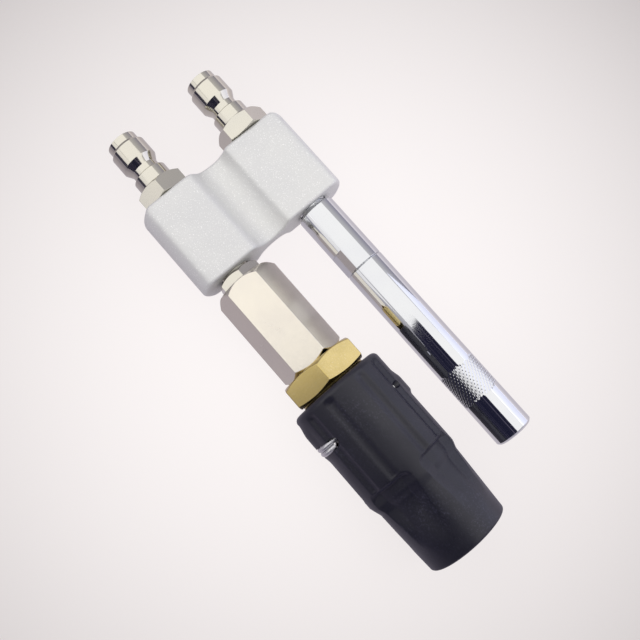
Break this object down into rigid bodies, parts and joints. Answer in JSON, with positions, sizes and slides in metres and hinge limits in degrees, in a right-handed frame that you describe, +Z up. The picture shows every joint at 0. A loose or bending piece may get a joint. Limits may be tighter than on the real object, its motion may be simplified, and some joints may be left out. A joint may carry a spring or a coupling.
{
  "type": "twin pressure washer nozzle",
  "caption": "Twin spray nozzle: a block with two quick-connect plugs feeds an adjustable fan nozzle under a rubber grip and a twist-adjust jet tube.",
  "frame": {"origin": "middle of the fan line's sealing nose, on the fan axis", "axes": "+X along the spray, +Y from the fan line to the jet line, +Z up, square to the plane of the two lines"},
  "size_m": [0.1608, 0.0602, 0.0318],
  "materials": {
    "blasted_aluminium": "bead blasted and clear anodised",
    "nickel": "bright nickel plate",
    "plated_hexagon": "satin nickel plate, slightly warm",
    "brass": "bright turned brass",
    "stainless": "turned",
    "spring_steel": "drawn wire",
    "chrome": "polished chrome plate",
    "black_plastic": "moulded",
    "grip_rubber": "soft moulded rubber with a slight sheen",
    "seal_rubber": "smooth"
  },
  "bodies": {
    "base": {"manifold_block": "blasted_aluminium", "fan_inlet_plug": "nickel", "jet_inlet_plug": "nickel", "outlet_nipple": "nickel", "filter_body": "plated_hexagon", "strainer": "stainless", "filter_o_ring": "seal_rubber", "nozzle_stem": "brass", "stem_o_rings": "seal_rubber", "fan_orifice": "stainless", "stem_stop_ring": "spring_steel", "jet_adaptor": "chrome", "jet_needle": "stainless", "jet_stop_ring": "spring_steel"},
    "carrier": {"jaw_carrier": "brass", "carrier_o_ring": "seal_rubber", "jaw_pins": "stainless"},
    "sleeve": {"turning_core": "black_plastic", "grip_cover": "grip_rubber", "retaining_clip": "spring_steel"},
    "upper_jaw": {"upper_jaw": "stainless"},
    "lower_jaw": {"lower_jaw": "stainless"},
    "barrel_ring": {"barrel_seal": "seal_rubber"},
    "barrel": {"jet_barrel": "chrome", "jet_orifice": "stainless"}
  },
  "joints": [
    {"name": "pressure_slide", "type": "slide", "parent": "base", "child": "carrier", "axis": [1, 0, 0], "range_m": [0, 0.008]},
    {"name": "fan_turn", "type": "hinge", "parent": "carrier", "child": "sleeve", "pos_m": [0.12, 0, 0], "axis": [1, 0, 0], "range_deg": [0, 90]},
    {"name": "upper_jaw_swing", "type": "hinge", "parent": "carrier", "child": "upper_jaw", "pos_m": [0.1318, 0, 0.0066], "axis": [0, -1, 0], "range_deg": [0, 6.1]},
    {"name": "lower_jaw_swing", "type": "hinge", "parent": "carrier", "child": "lower_jaw", "pos_m": [0.1318, 0, -0.0066], "axis": [0, 1, 0], "range_deg": [0, 6.1]},
    {"name": "jet_advance", "type": "slide", "parent": "base", "child": "barrel_ring", "axis": [1, 0, 0], "range_m": [0, 0.003]},
    {"name": "jet_turn", "type": "hinge", "parent": "barrel_ring", "child": "barrel", "pos_m": [0.1, 0.03175, 0], "axis": [1, 0, 0], "range_deg": [0, 720]}
  ],
  "couplings": [
    {"joint": "upper_jaw_swing", "follows": "fan_turn", "ratio": 0.066667},
    {"joint": "lower_jaw_swing", "follows": "fan_turn", "ratio": 0.066667},
    {"joint": "jet_turn", "follows": "jet_advance", "rad_per_m": 4188.8}
  ]
}
